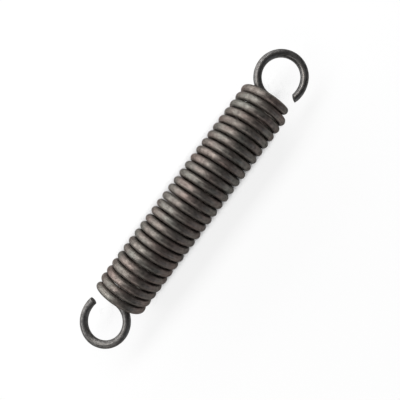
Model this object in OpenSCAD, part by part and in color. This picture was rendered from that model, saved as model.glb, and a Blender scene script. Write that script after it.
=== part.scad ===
/* [Wire] */
// Diameter of the round wire
wire_d = 2.1; // [1.6:0.05:2.3]

/* [Coil] */
// Diameter of the coil, measured to the middle of the wire
coil_d = 12.05; // [11:0.05:16]
// Turns from the first strand over the top to the last one
coil_turns = 26; // [4:1:36]
// Clear gap between neighbouring turns
coil_gap = 0.27; // [0.2:0.01:1.5]

/* [Hooks] */
// Diameter of a hook's loop, measured to the middle of the wire
hook_d = 11.6; // [9:0.1:16]
// How far a loop runs round from its foot before it loosens, in degrees
hook_sweep = 242; // [200:1:255]
// How far the loosened end of a loop turns, in degrees
end_turn = 40; // [20:1:45]
// Diameter that the loosened end is bent to, measured to the middle of the wire
end_d = 14.2; // [13:0.1:20]
// How far a loop's foot stands past the last top strand, along the axis
hook_lead = 1.6; // [1:0.05:2.5]
// How far a loop's centre stands to the side of the coil's axis
hook_offset = 0.75; // [0:0.05:1.5]
// Angle past the top at which the right end turns in for its hook
right_tuck = 50; // [40:1:60]
// Angle past the top at which the left end turns in for its hook
left_tuck = 57; // [40:1:60]

/* [Hidden] */
STEEL = "#4b4844";
ROUND = 72;

// The wire is a chain of stretches. Every other one is a hair slimmer and laps
// into its neighbours, so that the chain joins up as one solid.
SLIM = 0.02;
LAP = 0.1;

coil_r = coil_d / 2;
hook_r = hook_d / 2;
pitch = wire_d + coil_gap;
axis_z = (coil_d + wire_d) / 2;

// The coil turns through equal bends, each a little under a quarter turn.
// Their number is odd, so that the first and the last have the full diameter.
coil_from = -(180 * coil_turns + left_tuck);
coil_to = 180 * coil_turns + right_tuck;
coil_bends = 2 * ceil((coil_to - coil_from) / 180) + 1;
coil_step = (coil_to - coil_from) / coil_bends;
coil_out = coil_r / cos(coil_step / 2);

// A loop turns through equal bends too, an even number of them before its end
hook_bends = 2 * ceil(hook_sweep / 180);
hook_step = hook_sweep / hook_bends;
hook_out = hook_r / cos(hook_step / 2);
hook_reach = hook_r * tan(hook_step / 2);

// Centre and foot of the right-hand loop, as seen from the coil's middle
foot_x = pitch * coil_turns / 2 + hook_lead;
eye = [foot_x + hook_r, hook_offset, 0];
foot_dir = [0, 1, 0];

function unit(v) = v / norm(v);

// Point on a helix about the X axis, at an angle past the top
function helix(r, a) = [pitch * a / 360, -r * sin(a), r * cos(a)];

// Point on the coil's middle line and the way the wire runs there
function coil_point(a) = (helix(coil_out, a - coil_step / 2) + helix(coil_out, a + coil_step / 2)) / 2;
function coil_dir(a) = unit(helix(coil_out, a + coil_step / 2) - helix(coil_out, a - coil_step / 2));

// Point on a circle about the eye of the loop
function round_eye(r, a) = eye + [r * cos(a), r * sin(a), 0];

// Radius of the tight bend that brings the wire from the coil down to the plane
// of the loop, and the place where it gets there
function tuck_r(tuck) = coil_r * cos(tuck) / (1 + cos(tuck));
function tuck_end(tuck) = [foot_x, -(coil_r - tuck_r(tuck)) * sin(tuck), 0];

// Two bends of equal reach join point p, running along d, to point q, running
// along e. This is their reach: the length from an end to its corner.
function joining_reach(p, d, q, e) = let (
        v = q - p,
        a = 2 * (1 - d * e),
        b = 2 * v * (d + e),
        c = -v * v
    ) (-b + sqrt(b * b - 4 * a * c)) / (2 * a);

// Each leg of the wire's path is the corner of a bend, the reach of the bend,
// and whether it is one of the slim ones.
coil_legs = let (reach = norm(helix(coil_out, coil_step) - helix(coil_out, 0)) / 2)
    [for (i = [0 : coil_bends - 1]) [helix(coil_out, coil_from + (i + 0.5) * coil_step), reach, i % 2 == 1]];

function tuck_legs(tuck) = let (
        from = coil_point(180 * coil_turns + tuck),
        dir = coil_dir(180 * coil_turns + tuck),
        to = tuck_end(tuck),
        reach = joining_reach(from, dir, to, foot_dir)
    ) [[from + dir * reach, reach, true], [to - foot_dir * reach, reach, false]];

loop_legs = [for (i = [0 : hook_bends - 1])
    [round_eye(hook_out, 180 - (i + 0.5) * hook_step), hook_reach, i % 2 == 1]];

// The end of a loop springs open a little, so its last bend is a wider one
end_reach = end_d / 2 * tan(end_turn / 2);
function end_dir(a) = [sin(a), -cos(a), 0];
end_corner = round_eye(hook_r, 180 - hook_sweep) + end_dir(180 - hook_sweep) * end_reach;
tip = end_corner + end_dir(180 - hook_sweep - end_turn) * end_reach;
end_legs = [[end_corner, end_reach, false], [tip, 0, false]];

// The hook at the right end, and the same form half a turn round for the left
function hook_legs(tuck) = concat(tuck_legs(tuck), loop_legs, end_legs);
function half_turned(legs) = [for (i = [len(legs) - 1 : -1 : 0])
    [[-legs[i][0].x, -legs[i][0].y, legs[i][0].z], legs[i][1], legs[i][2]]];
path = concat(half_turned(hook_legs(left_tuck)), coil_legs, hook_legs(right_tuck));

// A bend of the wire from p to s, rounding the corner q
module bend(p, q, s, slim) {
    middle = (p + s) / 2;
    turn = 2 * atan2(norm(q - middle), norm(s - middle));
    radius = norm(q - p) / tan(turn / 2);
    out = unit(q - middle);
    along = unit(s - p);
    side = cross(out, along);
    centre = q - out * radius / cos(turn / 2);
    lap = slim ? LAP / radius * 180 / PI : 0;
    multmatrix([[out.x, along.x, side.x, centre.x],
                [out.y, along.y, side.y, centre.y],
                [out.z, along.z, side.z, centre.z]])
        rotate_extrude(angle = turn + 2 * lap, start = -turn / 2 - lap, $fn = ROUND)
            translate([radius, 0])
                circle(d = slim ? wire_d - SLIM : wire_d, $fn = ROUND);
}

// A straight stretch of the wire from p to q, always a slim one
module straight(p, q) {
    run = q - p;
    translate(p - unit(run) * LAP)
        rotate([0, acos(run.z / norm(run)), atan2(run.y, run.x)])
            cylinder(h = norm(run) + 2 * LAP, d = wire_d - SLIM, $fn = ROUND);
}

// The one wire, wound and hooked from tip to tip, lying on its side
module spring() {
    color(STEEL)
    translate([0, 0, axis_z])
    for (i = [1 : len(path) - 2]) {
        q = path[i][0];
        reach = path[i][1];
        back = unit(path[i - 1][0] - q);
        ahead = unit(path[i + 1][0] - q);
        left = norm(path[i + 1][0] - q) - reach - path[i + 1][1];
        bend(q + back * reach, q, q + ahead * reach, path[i][2]);
        if (left > LAP)
            straight(q + ahead * reach, q + ahead * (reach + left));
    }
}

spring();
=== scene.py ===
"""An extension spring of dark spring wire, wound and hooked as one piece, on a pale studio floor."""

import math

import bpy
import numpy as np
from mathutils import Matrix, Vector


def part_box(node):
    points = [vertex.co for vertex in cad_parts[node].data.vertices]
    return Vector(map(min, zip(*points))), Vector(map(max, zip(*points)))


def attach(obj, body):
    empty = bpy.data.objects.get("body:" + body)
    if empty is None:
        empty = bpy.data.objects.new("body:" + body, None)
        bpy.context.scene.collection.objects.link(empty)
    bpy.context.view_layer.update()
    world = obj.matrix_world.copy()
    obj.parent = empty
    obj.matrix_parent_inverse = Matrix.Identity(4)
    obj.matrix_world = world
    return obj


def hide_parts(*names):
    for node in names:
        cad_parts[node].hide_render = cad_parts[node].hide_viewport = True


bl_info = {
    "name": "Extension Spring",
    "version": (1, 0, 0),
    "blender": (4, 5, 0),
    "location": "3D View > Sidebar > Spring",
    "description": "Winds an extension spring from one wire, with its steel and its studio",
    "category": "Add Mesh",
}

MM = 0.001

# Points round the wire, and the space between its rings of points
WIRE_SIDES = 36
RING_SPACING = 0.43 * MM
# The most that one ring turns from the last in a hook's bend
MOST_TURN = math.radians(6)
# The equal bends that a loop's arc is swept in
LOOP_BENDS = 4
# Points closer than this are merged
MERGE_WITHIN = 0.002 * MM
# Edges sharper than this stay sharp
SHARP_ABOVE = math.radians(40)

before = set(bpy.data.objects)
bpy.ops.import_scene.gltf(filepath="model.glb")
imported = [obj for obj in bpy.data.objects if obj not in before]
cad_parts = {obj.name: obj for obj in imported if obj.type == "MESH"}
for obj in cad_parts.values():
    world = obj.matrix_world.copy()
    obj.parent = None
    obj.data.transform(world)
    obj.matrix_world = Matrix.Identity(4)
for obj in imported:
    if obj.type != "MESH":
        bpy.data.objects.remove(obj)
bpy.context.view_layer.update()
SOLID_LOW, SOLID_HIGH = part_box("spring")
WIRE_D = 2.1 * MM
COIL_OUTSIDE = SOLID_HIGH.z - SOLID_LOW.z
AXIS_Z = (SOLID_LOW.z + SOLID_HIGH.z) / 2


def linear(hex_colour):
    """The linear colour of an sRGB hex value such as #808080."""
    parts = [int(hex_colour[i:i + 2], 16) / 255 for i in (1, 3, 5)]
    return [c / 12.92 if c <= 0.04045 else ((c + 0.055) / 1.055) ** 2.4 for c in parts]


class SpringSizes(bpy.types.PropertyGroup):
    """Sizes of the wire, its coil and its hooks."""

    wire_d: bpy.props.FloatProperty(
        name="Wire", description="Diameter of the round wire", default=WIRE_D, unit="LENGTH")
    coil_d: bpy.props.FloatProperty(
        name="Coil", description="Diameter of the coil to the middle of the wire",
        default=COIL_OUTSIDE - WIRE_D, unit="LENGTH")
    turns: bpy.props.IntProperty(
        name="Turns", description="Turns between the first and the last strand over the coil's top",
        default=26)
    gap: bpy.props.FloatProperty(
        name="Gap", description="How much longer than the wire's diameter a turn's advance is",
        default=0.27 * MM, unit="LENGTH")
    hook_d: bpy.props.FloatProperty(
        name="Hook", description="Diameter of a loop to the middle of the wire",
        default=11.6 * MM, unit="LENGTH")
    hook_sweep: bpy.props.FloatProperty(
        name="Hook sweep", description="How far a loop runs round from its foot before it loosens",
        default=math.radians(242), subtype="ANGLE")
    end_turn: bpy.props.FloatProperty(
        name="End turn", description="How far the loosened end of a loop turns",
        default=math.radians(40), subtype="ANGLE")
    end_d: bpy.props.FloatProperty(
        name="End bend", description="Diameter that the loosened end of a loop is bent to",
        default=14.2 * MM, unit="LENGTH")
    hook_lead: bpy.props.FloatProperty(
        name="Hook lead", description="How far a loop's foot stands past the last top strand",
        default=1.6 * MM, unit="LENGTH")
    hook_offset: bpy.props.FloatProperty(
        name="Hook offset", description="How far a loop's centre stands beside the coil's axis",
        default=0.64 * MM, unit="LENGTH")
    right_tuck: bpy.props.FloatProperty(
        name="Right tuck", description="Angle past the top where the right end turns in",
        default=math.radians(46), subtype="ANGLE")
    left_tuck: bpy.props.FloatProperty(
        name="Left tuck", description="Angle past the top where the left end turns in",
        default=math.radians(57), subtype="ANGLE")
    right_twist: bpy.props.FloatProperty(
        name="Right twist", description="How far the right hook is twisted out of level",
        default=math.radians(8), subtype="ANGLE")
    left_twist: bpy.props.FloatProperty(
        name="Left twist", description="How far the left hook is twisted out of level, the other way",
        default=math.radians(6), subtype="ANGLE")
    right_wider: bpy.props.FloatProperty(
        name="Right wider", description="How much more than planned the right loop's radius is",
        default=0.14 * MM, unit="LENGTH")
    right_nearer: bpy.props.FloatProperty(
        name="Right nearer", description="How much nearer than planned the right loop's foot stands",
        default=0.3 * MM, unit="LENGTH")
    right_longer: bpy.props.FloatProperty(
        name="Right longer", description="How much further round than planned the right end runs",
        default=math.radians(3), subtype="ANGLE")
    right_slant: bpy.props.FloatProperty(
        name="Right slant", description="How far the right sheared end leans out of square",
        default=math.radians(20), subtype="ANGLE")
    left_slant: bpy.props.FloatProperty(
        name="Left slant", description="How far the left sheared end leans out of square",
        default=math.radians(3), subtype="ANGLE")
    squeeze: bpy.props.FloatProperty(
        name="Squeeze", description="How far the last strand at each end is drawn in to its neighbour",
        default=0.26 * MM, unit="LENGTH")
    right_drawn: bpy.props.FloatProperty(
        name="Right drawn", description="Length of wire over which the right end is drawn in",
        default=12 * MM, unit="LENGTH")
    left_drawn: bpy.props.FloatProperty(
        name="Left drawn", description="Length of wire over which the left end is drawn in",
        default=95 * MM, unit="LENGTH")
    unevenness: bpy.props.FloatProperty(
        name="Unevenness", description="How far the turns wander from a perfect winding",
        default=0.05 * MM, unit="LENGTH")


class SteelFinish(bpy.types.PropertyGroup):
    """Colours and gloss of the spring wire."""

    warm: bpy.props.FloatVectorProperty(
        name="Warm film", description="Colour of the browner stretches of the skin",
        default=linear("#695d58"), subtype="COLOR", size=3)
    cool: bpy.props.FloatVectorProperty(
        name="Cool film", description="Colour of the greener, oilier stretches of the skin",
        default=linear("#62615c"), subtype="COLOR", size=3)
    worn: bpy.props.FloatVectorProperty(
        name="Worn steel", description="Colour of the fine rubbed lines and specks",
        default=linear("#8a827b"), subtype="COLOR", size=3)
    bent: bpy.props.FloatVectorProperty(
        name="Bent skin", description="Colour of the skin on the hooks",
        default=linear("#5a5958"), subtype="COLOR", size=3)
    edge: bpy.props.FloatVectorProperty(
        name="Edge", description="Tint of what the skin mirrors at a glancing angle",
        default=linear("#888888"), subtype="COLOR", size=3)
    mottle: bpy.props.FloatProperty(
        name="Mottle", description="How much lighter and darker the skin is from spot to spot",
        default=0.5, min=0.0, max=1.0, subtype="FACTOR")
    metallic: bpy.props.FloatProperty(
        name="Metallic", description="How metallic the skin is",
        default=0.74, min=0.0, max=1.0, subtype="FACTOR")
    roughness: bpy.props.FloatProperty(
        name="Roughness", description="Roughness of the skin",
        default=0.44, min=0.0, max=1.0, subtype="FACTOR")
    smoothing: bpy.props.FloatProperty(
        name="Smoothing", description="How much less rough the right hook is",
        default=0.06, min=0.0, max=1.0, subtype="FACTOR")


class StudioSettings(bpy.types.PropertyGroup):
    """The floor, the lamps and the camera."""

    floor: bpy.props.FloatVectorProperty(
        name="Floor", description="Colour of the floor",
        default=linear("#f7f7f7"), subtype="COLOR", size=3)
    # Painted shade: the paper close below the coil is painted this dark colour
    painted_floor_shade: bpy.props.FloatVectorProperty(
        name="Covered floor", description="Colour of the floor close below the coil",
        default=linear("#4a4643"), subtype="COLOR", size=3)
    backdrop: bpy.props.FloatProperty(
        name="Backdrop", description="How much of the floor is seen as plain white backdrop",
        default=0.86, min=0.0, max=1.0, subtype="FACTOR")
    # How near the spring has to be for the floor below it to be painted dark, as painted shade
    painted_shade_reach: bpy.props.FloatProperty(
        name="Cover", description="How near the spring has to be to keep the floor dark",
        default=20 * MM, unit="LENGTH")
    key: bpy.props.FloatProperty(
        name="Key light", description="Brightness of the main softbox's face", default=8.0)
    side: bpy.props.FloatProperty(
        name="Side light", description="Brightness of the low softbox's face, below the main one",
        default=4.3)
    fill: bpy.props.FloatProperty(
        name="Fill light", description="Brightness of the fill lamp's face", default=0.85)
    fill_colour: bpy.props.FloatVectorProperty(
        name="Fill colour", description="Colour of the fill lamp's light, a little cool",
        default=linear("#dfeeff"), subtype="COLOR", size=3)
    end: bpy.props.FloatProperty(
        name="End light", description="Brightness of the small softbox's face beyond the left hook",
        default=2.0)
    sky: bpy.props.FloatProperty(
        name="Room light", description="Brightness of the even light of the room", default=0.04)
    lens: bpy.props.FloatProperty(
        name="Lens", description="Focal length of the camera in millimetres", default=40.55)


def helix(radius, pitch, angle):
    """Point on a right-hand helix about the X axis, at an angle past the top."""
    return Vector((pitch * angle / math.tau, -radius * math.sin(angle), radius * math.cos(angle)))


def heading(pitch, radius, angle):
    """The way a right-hand helix about the X axis runs, at an angle past the top."""
    way = Vector((pitch / math.tau, -radius * math.cos(angle), -radius * math.sin(angle)))
    return way.normalized()


def joining_reach(p, along_p, q, along_q):
    """Reach of the two equal bends that join p, running along_p, to q, running along_q."""
    across = q - p
    a = 2 * (1 - along_p.dot(along_q))
    b = 2 * across.dot(along_p + along_q)
    c = -across.dot(across)
    return (-b + math.sqrt(b * b - 4 * a * c)) / (2 * a)


def hook_legs(sizes, tuck, twist, wider=0, nearer=0, longer=0):
    """Corners and reaches of the bends from the coil's right end, in to the loop's foot and round it.
    The twist turns the hook about the coil's axis. Its loop is bent this much wider in radius, nearer to
    the coil, and longer in angle than planned."""
    pitch = sizes.wire_d + sizes.gap
    coil_r, hook_r = sizes.coil_d / 2, sizes.hook_d / 2 + wider
    turned = Matrix.Rotation(twist, 3, "X")
    end = sizes.turns * math.pi + tuck
    coil_end, leaving = helix(coil_r, pitch, end), heading(pitch, coil_r, end)
    to_plane = tuck - twist
    tuck_r = coil_r * math.cos(to_plane) / (1 + math.cos(to_plane))
    foot_x = pitch * sizes.turns / 2 + sizes.hook_lead - nearer
    foot = turned @ Vector((foot_x, -(coil_r - tuck_r) * math.sin(to_plane), 0))
    rising = turned @ Vector((0, 1, 0))
    reach = joining_reach(coil_end, leaving, foot, rising)
    legs = [(coil_end, 0), (coil_end + leaving * reach, reach), (foot - rising * reach, reach)]

    eye = Vector((foot_x + hook_r, sizes.hook_offset, 0))
    turn = sizes.hook_sweep / LOOP_BENDS
    for i in range(LOOP_BENDS):
        angle = math.pi - (i + 0.5) * turn
        corner = eye + Vector((math.cos(angle), math.sin(angle), 0)) * hook_r / math.cos(turn / 2)
        legs.append((turned @ corner, hook_r * math.tan(turn / 2)))
    angle = math.pi - sizes.hook_sweep
    end_turn = sizes.end_turn + longer
    end_reach = sizes.end_d / 2 * math.tan(end_turn / 2)
    loosening = eye + Vector((math.cos(angle), math.sin(angle), 0)) * hook_r
    last = loosening + Vector((math.sin(angle), -math.cos(angle), 0)) * end_reach
    angle -= end_turn
    tip = last + Vector((math.sin(angle), -math.cos(angle), 0)) * end_reach
    legs += [(turned @ last, end_reach), (turned @ tip, 0)]
    return legs


def wind_coil(sizes, start, stop):
    """Winds a ring round the coil's axis with a screw modifier, between two angles past the top."""
    pitch, coil_r = sizes.wire_d + sizes.gap, sizes.coil_d / 2
    facing = heading(pitch, coil_r, start).to_track_quat("Z", "Y").to_euler()
    bpy.ops.mesh.primitive_circle_add(
        vertices=WIRE_SIDES, radius=sizes.wire_d / 2, fill_type="NOTHING",
        location=helix(coil_r, pitch, start), rotation=facing)
    coil = bpy.context.object
    coil.name = coil.data.name = "wound_wire"
    bpy.ops.object.transform_apply(location=True, rotation=True, scale=True)
    screw = coil.modifiers.new("winding", "SCREW")
    screw.axis = "X"
    screw.angle = stop - start
    screw.screw_offset = pitch * (stop - start) / math.tau
    screw.steps = screw.render_steps = round(coil_r * (stop - start) / RING_SPACING)
    bpy.ops.object.modifier_apply(modifier=screw.name)
    bpy.ops.transform.translate(value=(0, 0, AXIS_Z))
    bpy.ops.object.transform_apply(location=True, rotation=True, scale=True)
    return coil


def select_ring(wire, first):
    """Selects one ring of the wire in edit mode, from its first vertex on, and nothing else."""
    bpy.ops.object.select_all(action="DESELECT")
    wire.select_set(True)
    bpy.context.view_layer.objects.active = wire
    bpy.ops.object.mode_set(mode="EDIT")
    bpy.ops.mesh.select_mode(type="VERT")
    bpy.ops.mesh.select_all(action="DESELECT")
    bpy.ops.object.mode_set(mode="OBJECT")
    for vertex in wire.data.vertices[first:first + WIRE_SIDES]:
        vertex.select = True
    bpy.ops.object.mode_set(mode="EDIT")


def sweep_ring(legs):
    """Sweeps the selected ring in edit mode through every bend and straight stretch of the legs."""
    lift = Vector((0, 0, AXIS_Z))
    for i in range(1, len(legs) - 1):
        corner, reach = legs[i]
        back = (legs[i - 1][0] - corner).normalized()
        ahead = (legs[i + 1][0] - corner).normalized()
        turn = math.pi - back.angle(ahead)
        radius = reach / math.tan(turn / 2)
        centre = corner + (back + ahead).normalized() * radius / math.cos(turn / 2) + lift
        bpy.ops.mesh.spin(
            steps=max(round(radius * turn / RING_SPACING), math.ceil(turn / MOST_TURN)), angle=turn,
            center=centre, axis=back.cross(ahead).normalized())
        left = (legs[i + 1][0] - corner).length - reach - legs[i + 1][1]
        for _ in range(round(left / RING_SPACING)):
            step = ahead * left / round(left / RING_SPACING)
            bpy.ops.mesh.extrude_region_move(TRANSFORM_OT_translate={"value": step})


def bend_hook(coil, first, legs):
    """Makes a hook of its own from one end ring of the coil, swept through the legs."""
    select_ring(coil, first)
    bpy.ops.mesh.duplicate()
    bpy.ops.mesh.separate(type="SELECTED")
    bpy.ops.object.mode_set(mode="OBJECT")
    hook = [other for other in bpy.context.selected_objects if other != coil][0]
    select_ring(hook, 0)
    sweep_ring(legs)
    bpy.ops.object.mode_set(mode="OBJECT")
    return hook


# Each wave of the drift: its length along the wire in millimetres, its share and its shift in radians
DRIFT_WAVES = ((61.0, 0.5, 0.4), (23.0, 0.3, 1.9), (97.0, 0.4, 4.0))
# How much further along the wire the waves are read for the drift along the axis
AXIAL_SHIFT = 66 * MM
# How much of the drift goes into the radius
RADIAL_SHARE = 0.5
# An end is fully drawn in from this far before the coil ends
DRAWN_BEFORE = 6 * MM
# The hook lies as planned from this far past the coil's end, and comes back to that over this length
BACK_BY = 8 * MM
COMING_BACK = 6 * MM


def wander(along, size):
    """A small smooth drift along the wire, from three waves that don't keep step with the turns."""
    return size * sum(
        share * np.sin(along / MM * math.tau / length + shift) for length, share, shift in DRIFT_WAVES)


def near_end(past, drawn):
    """How fully a place on the wire is drawn in, from 0 to 1, where past is how far it lies past the
    coil's end, and drawn is the length of wire over which the end is drawn in."""
    rise = np.clip(1 + (past + DRAWN_BEFORE) / drawn, 0, 1)
    rise = rise * np.clip((BACK_BY - past) / COMING_BACK, 0, 1)
    return rise * rise * (3 - 2 * rise)


def settle_wire(wire, sizes, coil_length, start, direction):
    """Marks where each point lies on the straight wire, lets the turns drift and draws the ends in."""
    mesh = wire.data
    points = np.empty(len(mesh.vertices) * 3)
    mesh.vertices.foreach_get("co", points)
    points = points.reshape(-1, WIRE_SIDES, 3)
    middles = points.mean(axis=1)
    steps = np.linalg.norm(np.diff(middles, axis=0), axis=1)
    along = start + direction * np.concatenate([[0], np.cumsum(steps)])

    around = np.arange(WIRE_SIDES) * math.tau / WIRE_SIDES
    place = np.zeros_like(points)
    place[:, :, 0] = along[:, None]
    place[:, :, 1] = np.cos(around) * sizes.wire_d / 2
    place[:, :, 2] = np.sin(around) * sizes.wire_d / 2
    straight = mesh.attributes.new("wire_place", "FLOAT_VECTOR", "POINT")
    straight.data.foreach_set("vector", place.ravel())

    inward = np.array([0, 0, AXIS_Z]) - middles
    inward[:, 0] = 0
    inward /= np.maximum(np.linalg.norm(inward, axis=1), sizes.wire_d)[:, None]
    drift = inward * (wander(along, sizes.unevenness) + sizes.unevenness)[:, None] * RADIAL_SHARE
    drift[:, 0] = wander(along + AXIAL_SHIFT, sizes.unevenness)
    drawn_in = near_end(-along, sizes.left_drawn) - near_end(along - coil_length, sizes.right_drawn)
    drift[:, 0] += sizes.squeeze * drawn_in
    points += drift[:, None, :]
    mesh.vertices.foreach_set("co", points.ravel())
    mesh.update()


# Parts of the wire's diameter at a sheared end: the rim's width and height, and the flat's margin
RIM_WIDTH = 0.05
RIM_HEIGHT = 0.03
FLAT_MARGIN = 0.1


def cut_end(hook, onward, slant, sizes):
    """Closes the open end of a hook with a sheared face: leaning, flat and dulled at the rim."""
    select_ring(hook, len(hook.data.vertices) - WIRE_SIDES)
    rim = [vertex.co for vertex in hook.data.vertices[-WIRE_SIDES:]]
    middle = sum(rim, Vector()) / WIRE_SIDES
    bpy.ops.transform.rotate(value=slant, orient_axis="Z", center_override=middle)
    bpy.ops.mesh.edge_face_add()
    bpy.ops.mesh.inset(thickness=sizes.wire_d * RIM_WIDTH)
    bpy.ops.transform.translate(value=onward * sizes.wire_d * RIM_HEIGHT)
    bpy.ops.mesh.inset(thickness=sizes.wire_d * FLAT_MARGIN)
    bpy.ops.object.mode_set(mode="OBJECT")


def add_node(tree, kind, sockets=None, **settings):
    """Adds a node with its settings. Each socket is given a value, or the output that links to it."""
    node = tree.nodes.new(kind)
    for name, value in settings.items():
        setattr(node, name, value)
    for socket, value in (sockets or {}).items():
        if isinstance(value, bpy.types.NodeSocket):
            tree.links.new(value, node.inputs[socket])
        else:
            node.inputs[socket].default_value = value
    return node


# Sockets of the Mix node when it mixes colours: its share, its two colours and the mixed one
SHARE, FIRST, SECOND, MIXED = 0, 6, 7, 2

# Sizes of the skin's patterns in millimetres
FILM_STRETCH = 9.0
MOTTLE_SPOT = 0.9
SPECK = 0.25
DULL_CLOUD = 1.2
# The drawing lines and the grain are finer on real wire, and are drawn as coarse as they need to show
DRAWN_LINE = 0.16
GRAIN = 0.12
# How much longer than wide a drawing line is
LINE_LENGTH = 60
# Height of the relief of lines and grain, in metres
RELIEF = 0.012 * MM
# Millimetres of wire past the coil over which the hooks turn grey, and the right one smooth
GREYING = 9.0
SMOOTH_FROM, SMOOTH_TO = 4.0, 12.0
# How much duller and glossier than the rest the clouds are
CLOUDING = 0.06


def oil_tempered_steel(finish, coil_length):
    """Oil-tempered spring wire: drawn to size, then hardened, which leaves a thin dark oxide skin.
    To the eye it is a dark satin metal, with fine lines along it that the drawing left, and browner and
    greener stretches that the oil left."""
    material = bpy.data.materials.new("oil_tempered_spring_steel")
    material.use_nodes = True
    tree = material.node_tree
    tree.nodes.clear()
    # Where a point lies on the straight wire and in space, in millimetres
    straight = add_node(tree, "ShaderNodeAttribute", attribute_name="wire_place").outputs["Vector"]
    in_space = add_node(tree, "ShaderNodeTexCoord").outputs["Object"]
    on_wire = add_node(tree, "ShaderNodeVectorMath", {
        0: straight, "Scale": 1 / MM}, operation="SCALE").outputs["Vector"]
    spot = add_node(tree, "ShaderNodeVectorMath", {
        0: in_space, "Scale": 1 / MM}, operation="SCALE").outputs["Vector"]
    along = add_node(tree, "ShaderNodeSeparateXYZ", {0: on_wire}).outputs["X"]
    coil_mm = coil_length / MM
    half_coil = coil_mm / 2

    # Browner and greener stretches of the oil's film, which change from turn to turn
    film = add_node(tree, "ShaderNodeTexNoise", {
        "Vector": on_wire, "Scale": 1 / FILM_STRETCH, "Detail": 3.0, "Roughness": 0.6}).outputs["Fac"]
    warmth = add_node(tree, "ShaderNodeMapRange", {
        "Value": film, "From Min": 0.38, "From Max": 0.62}).outputs["Result"]
    colour = add_node(tree, "ShaderNodeMix", {
        SHARE: warmth, FIRST: (*finish.cool, 1), SECOND: (*finish.warm, 1)},
        data_type="RGBA").outputs[MIXED]
    # The hooks' skin is greyer: they were bent last, over a hard tool
    past_middle = add_node(tree, "ShaderNodeMath", {
        0: along, 1: half_coil}, operation="SUBTRACT").outputs["Value"]
    from_middle = add_node(tree, "ShaderNodeMath", {
        0: past_middle}, operation="ABSOLUTE").outputs["Value"]
    hooked = add_node(tree, "ShaderNodeMapRange", {
        "Value": from_middle, "From Min": half_coil, "From Max": half_coil + GREYING}).outputs["Result"]
    colour = add_node(tree, "ShaderNodeMix", {
        SHARE: hooked, FIRST: colour, SECOND: (*finish.bent, 1)}, data_type="RGBA").outputs[MIXED]
    # The skin is thicker and thinner from spot to spot, which shows as a fine mottle
    spots = add_node(tree, "ShaderNodeTexNoise", {
        "Vector": spot, "Scale": 1 / MOTTLE_SPOT, "Detail": 4.0, "Roughness": 0.7}).outputs["Fac"]
    level = add_node(tree, "ShaderNodeMapRange", {
        "Value": spots, "From Min": 0.3, "From Max": 0.7,
        "To Min": 1 - finish.mottle, "To Max": 1 + finish.mottle}).outputs["Result"]
    colour = add_node(tree, "ShaderNodeVectorMath", {
        0: colour, "Scale": level}, operation="SCALE").outputs["Vector"]
    # Fine drawing lines along the wire, lighter where the skin is rubbed thin
    drawn_out = add_node(tree, "ShaderNodeVectorMath", {
        0: on_wire, 1: (1 / LINE_LENGTH, 1, 1)}, operation="MULTIPLY").outputs["Vector"]
    lines = add_node(tree, "ShaderNodeTexNoise", {
        "Vector": drawn_out, "Scale": 1 / DRAWN_LINE, "Detail": 3.0, "Roughness": 0.7}).outputs["Fac"]
    rubbed = add_node(tree, "ShaderNodeMapRange", {
        "Value": lines, "From Min": 0.5, "From Max": 0.8}).outputs["Result"]
    colour = add_node(tree, "ShaderNodeMix", {
        SHARE: rubbed, FIRST: colour, SECOND: (*finish.worn, 1)}, data_type="RGBA").outputs[MIXED]
    # A few bright specks, where a grain of the skin has come off
    specks = add_node(tree, "ShaderNodeTexNoise", {
        "Vector": spot, "Scale": 1 / SPECK, "Detail": 1.0, "Roughness": 0.5}).outputs["Fac"]
    bare = add_node(tree, "ShaderNodeMapRange", {
        "Value": specks, "From Min": 0.76, "From Max": 0.8}).outputs["Result"]
    colour = add_node(tree, "ShaderNodeMix", {
        SHARE: bare, FIRST: colour, SECOND: (*finish.worn, 1)}, data_type="RGBA").outputs[MIXED]

    # The skin's gloss, duller and glossier in cloudy patches
    cloud = add_node(tree, "ShaderNodeTexNoise", {
        "Vector": spot, "Scale": 1 / DULL_CLOUD, "Detail": 4.0, "Roughness": 0.6}).outputs["Fac"]
    dullness = add_node(tree, "ShaderNodeMapRange", {
        "Value": cloud, "From Min": 0.3, "From Max": 0.7,
        "To Min": finish.roughness - CLOUDING, "To Max": finish.roughness + CLOUDING}).outputs["Result"]
    # The tool has rubbed the right hook smoother
    smoother = add_node(tree, "ShaderNodeMapRange", {
        "Value": along, "From Min": coil_mm + SMOOTH_FROM, "From Max": coil_mm + SMOOTH_TO,
        "To Max": finish.smoothing}).outputs["Result"]
    roughness = add_node(tree, "ShaderNodeMath", {
        0: dullness, 1: smoother}, operation="SUBTRACT").outputs["Value"]
    # The lines and the grain stand a few thousandths of a millimetre proud
    grain = add_node(tree, "ShaderNodeTexNoise", {
        "Vector": spot, "Scale": 1 / GRAIN, "Detail": 2.0, "Roughness": 0.5}).outputs["Fac"]
    height = add_node(tree, "ShaderNodeMath", {0: lines, 1: grain}, operation="ADD").outputs["Value"]
    relief = add_node(tree, "ShaderNodeBump", {
        "Strength": 1.0, "Distance": RELIEF, "Height": height}).outputs["Normal"]

    shader = add_node(tree, "ShaderNodeBsdfPrincipled", {
        "Base Color": colour, "Metallic": finish.metallic, "Roughness": roughness,
        "Specular Tint": (*finish.edge, 1), "Normal": relief}).outputs["BSDF"]
    add_node(tree, "ShaderNodeOutputMaterial", {"Surface": shader})
    return material


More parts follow.
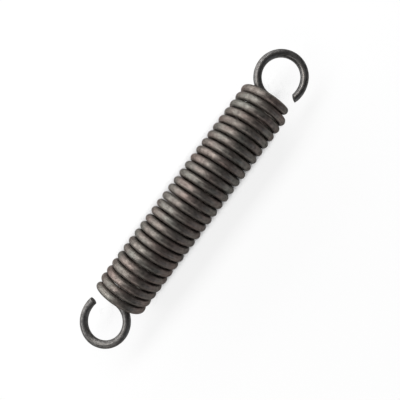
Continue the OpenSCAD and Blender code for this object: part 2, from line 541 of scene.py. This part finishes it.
class SPRING_OT_wire(bpy.types.Operator):
    """Winds the wire from tip to tip and gives it its steel"""

    bl_idname = "spring.wire"
    bl_label = "Wind the wire"

    def execute(self, context):
        sizes = context.scene.spring_sizes
        start = -(sizes.turns * math.pi + sizes.left_tuck)
        stop = sizes.turns * math.pi + sizes.right_tuck
        wire = wind_coil(sizes, start, stop)
        half_turn = Matrix.Rotation(math.pi, 3, "Z")
        right_legs = hook_legs(sizes, sizes.right_tuck, sizes.right_twist, sizes.right_wider,
                               sizes.right_nearer, sizes.right_longer)
        left_legs = hook_legs(sizes, sizes.left_tuck, sizes.left_twist)
        left_legs = [(half_turn @ corner, reach) for corner, reach in left_legs]
        right = bend_hook(wire, len(wire.data.vertices) - WIRE_SIDES, right_legs)
        left = bend_hook(wire, 0, left_legs)

        pitch = sizes.wire_d + sizes.gap
        coil_length = (stop - start) * math.hypot(sizes.coil_d / 2, pitch / math.tau)
        settle_wire(wire, sizes, coil_length, 0, 1)
        settle_wire(right, sizes, coil_length, coil_length, 1)
        settle_wire(left, sizes, coil_length, 0, -1)
        ends = ((right, right_legs, sizes.right_slant), (left, left_legs, sizes.left_slant))
        for hook, legs, slant in ends:
            cut_end(hook, (legs[-1][0] - legs[-2][0]).normalized(), slant, sizes)

        bpy.ops.object.select_all(action="DESELECT")
        for part in (right, left, wire):
            part.select_set(True)
        context.view_layer.objects.active = wire
        bpy.ops.object.join()
        bpy.ops.object.mode_set(mode="EDIT")
        bpy.ops.mesh.select_all(action="SELECT")
        bpy.ops.mesh.remove_doubles(threshold=MERGE_WITHIN)
        bpy.ops.mesh.normals_make_consistent(inside=False)
        bpy.ops.object.mode_set(mode="OBJECT")
        bpy.ops.object.shade_smooth_by_angle(angle=SHARP_ABOVE)
        wire.data.materials.append(oil_tempered_steel(context.scene.spring_finish, coil_length))
        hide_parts("spring")
        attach(wire, "root")
        return {"FINISHED"}


# The photograph's view: where the camera stands, and the ways that point right and down in its picture
CAMERA_PLACE = Vector((4.55, -13.05, 120.43)) * MM
CAMERA_RIGHT = Vector((0.59792, -0.79543, -0.0989))
CAMERA_DOWN = Vector((-0.801, -0.59752, -0.03694))
# Side of the square floor, and how far off every lamp stands, in metres
FLOOR_SIZE = 4.0
LAMP_DISTANCE = 0.6
# How open to the room the floor is where its painted shade is darkest, and from where on it is white
DARK_AT, WHITE_FROM = 0.49, 0.54


def studio_floor(studio):
    """A matt white paper floor. The camera and glossy metal see it as the white backdrop, with a soft
    shadow. Close below the spring the paper is painted dark, as painted shade, and its white glow is
    left out there."""
    bpy.ops.mesh.primitive_plane_add(size=FLOOR_SIZE, location=(0, 0, 0))
    floor = bpy.context.object
    floor.name = "studio_floor"
    material = bpy.data.materials.new("white_paper")
    material.use_nodes = True
    tree = material.node_tree
    tree.nodes.clear()
    # Openness is felt for in a leaning direction, which moves the painted shade a little aside, to where
    # the photograph's view shows it between the turns
    leaning = add_node(tree, "ShaderNodeCombineXYZ", {"X": 0.0, "Y": -0.1, "Z": 1.0}).outputs["Vector"]
    openness = add_node(tree, "ShaderNodeAmbientOcclusion", {
        "Distance": studio.painted_shade_reach, "Normal": leaning}, samples=16).outputs["AO"]
    # Open floor is white. Below the coil's round underside, between its turns, the paper is painted
    # dark: painted shade
    beyond_painted_shade = add_node(tree, "ShaderNodeMapRange", {
        "Value": openness, "From Min": DARK_AT, "From Max": WHITE_FROM}).outputs["Result"]
    colour = add_node(tree, "ShaderNodeMix", {
        SHARE: beyond_painted_shade, FIRST: (*studio.painted_floor_shade, 1), SECOND: (*studio.floor, 1)},
        data_type="RGBA").outputs[MIXED]
    paper = add_node(tree, "ShaderNodeBsdfDiffuse", {"Color": colour}).outputs["BSDF"]
    glow = add_node(tree, "ShaderNodeEmission", {
        "Color": (1, 1, 1, 1), "Strength": 1.0}).outputs["Emission"]
    rays = add_node(tree, "ShaderNodeLightPath").outputs
    seen = add_node(tree, "ShaderNodeMath", {
        0: rays["Is Camera Ray"], 1: rays["Is Glossy Ray"]}, operation="MAXIMUM").outputs["Value"]
    seen_white = add_node(tree, "ShaderNodeMath", {
        0: seen, 1: studio.backdrop}, operation="MULTIPLY").outputs["Value"]
    # The white glow is left out where the paper is painted dark, so the painted shade shows to the
    # camera and in the metal
    share = add_node(tree, "ShaderNodeMath", {
        0: seen_white, 1: beyond_painted_shade}, operation="MULTIPLY").outputs["Value"]
    both = add_node(tree, "ShaderNodeMixShader", {0: share, 1: paper, 2: glow}).outputs["Shader"]
    add_node(tree, "ShaderNodeOutputMaterial", {"Surface": both})
    floor.data.materials.append(material)


def add_softbox(name, radiance, way, width, height, colour=(1, 1, 1)):
    """A softbox that faces the coil's middle from this way off, with this brightness of its face."""
    aim = Vector((0, 0, AXIS_Z))
    place = aim + Vector(way).normalized() * LAMP_DISTANCE
    bpy.ops.object.light_add(type="AREA", location=place)
    lamp = bpy.context.object
    lamp.name = name
    lamp.rotation_euler = (aim - place).to_track_quat("-Z", "Y").to_euler()
    lamp.data.shape = "RECTANGLE"
    lamp.data.size = width
    lamp.data.size_y = height
    lamp.data.energy = radiance * math.pi * width * height
    lamp.data.color = colour


def light_room(strength):
    """Even light from all round, in a room that the camera sees as white."""
    world = bpy.data.worlds.new("white_room")
    bpy.context.scene.world = world
    world.use_nodes = True
    tree = world.node_tree
    tree.nodes.clear()
    rays = add_node(tree, "ShaderNodeLightPath").outputs
    level = add_node(tree, "ShaderNodeMapRange", {
        "Value": rays["Is Camera Ray"], "To Min": strength, "To Max": 1.0}).outputs["Result"]
    light = add_node(tree, "ShaderNodeBackground", {
        "Color": (1, 1, 1, 1), "Strength": level}).outputs["Background"]
    add_node(tree, "ShaderNodeOutputWorld", {"Surface": light})


class SPRING_OT_studio(bpy.types.Operator):
    """Sets the floor, the lamps and the camera round the spring"""

    bl_idname = "spring.studio"
    bl_label = "Set the studio"

    def execute(self, context):
        studio = context.scene.spring_studio
        bpy.ops.object.select_all(action="DESELECT")
        studio_floor(studio)
        add_softbox("key_softbox", studio.key, way=(0, 0.6, 0.8), width=1.3, height=0.175)
        add_softbox("side_softbox", studio.side, way=(0, 0.97, 0.24), width=1.6, height=0.28)
        add_softbox("fill_softbox", studio.fill, way=(0, -0.97, 0.24), width=0.4, height=0.28,
                    colour=studio.fill_colour)
        add_softbox("end_softbox", studio.end, way=(-0.82, -0.2, 0.53), width=0.3, height=0.3)
        light_room(studio.sky)
        bpy.ops.object.camera_add(location=CAMERA_PLACE)
        camera = context.object
        camera.name = "studio_camera"
        up = -CAMERA_DOWN.normalized()
        right = (CAMERA_RIGHT - up * CAMERA_RIGHT.dot(up)).normalized()
        camera.rotation_euler = Matrix((right, up, right.cross(up))).transposed().to_euler()
        camera.data.lens = studio.lens
        camera.data.clip_start = 1 * MM
        context.scene.camera = camera
        context.scene.view_settings.view_transform = "Standard"
        return {"FINISHED"}


class SPRING_PT_panel(bpy.types.Panel):
    """Lists the spring's making and its sizes, finish and studio"""

    bl_idname = "SPRING_PT_panel"
    bl_label = "Extension spring"
    bl_space_type = "VIEW_3D"
    bl_region_type = "UI"
    bl_category = "Spring"

    def draw(self, context):
        scene = context.scene
        for operator in (SPRING_OT_wire, SPRING_OT_studio):
            self.layout.operator(operator.bl_idname)
        for group in (scene.spring_sizes, scene.spring_finish, scene.spring_studio):
            box = self.layout.box()
            for name in group.__annotations__:
                box.prop(group, name)


CLASSES = (SpringSizes, SteelFinish, StudioSettings, SPRING_OT_wire, SPRING_OT_studio, SPRING_PT_panel)


def register():
    for cls in CLASSES:
        bpy.utils.register_class(cls)
    bpy.types.Scene.spring_sizes = bpy.props.PointerProperty(type=SpringSizes)
    bpy.types.Scene.spring_finish = bpy.props.PointerProperty(type=SteelFinish)
    bpy.types.Scene.spring_studio = bpy.props.PointerProperty(type=StudioSettings)


def unregister():
    del bpy.types.Scene.spring_studio
    del bpy.types.Scene.spring_finish
    del bpy.types.Scene.spring_sizes
    for cls in reversed(CLASSES):
        bpy.utils.unregister_class(cls)


def main():
    register()
    bpy.ops.spring.wire()
    bpy.ops.spring.studio()


if __name__ == "__main__":
    main()
